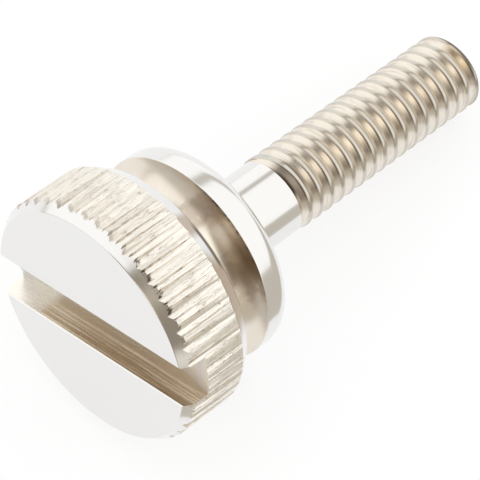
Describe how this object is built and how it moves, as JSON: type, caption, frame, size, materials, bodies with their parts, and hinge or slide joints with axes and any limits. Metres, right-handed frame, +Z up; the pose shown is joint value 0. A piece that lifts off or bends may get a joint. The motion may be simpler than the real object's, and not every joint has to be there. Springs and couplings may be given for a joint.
{
  "type": "lyre screw",
  "caption": "One-piece knurled thumb screw with a driver slot across its head, a grooved collar, a plain shank and a threaded end; it clamps a music lyre in its holder.",
  "frame": {"origin": "middle of the bottom of the box around the screw as it lies on its side", "axes": "+X level, towards the end of the thread; +Z up; the screw's own axis leans 11.7 degrees below +X because the head is wider than the thread"},
  "size_m": [0.024, 0.012, 0.0123],
  "materials": {
    "nickel": "bright nickel plate over turned brass"
  },
  "bodies": {
    "root": {"lyre_screw": "nickel"}
  },
  "joints": []
}
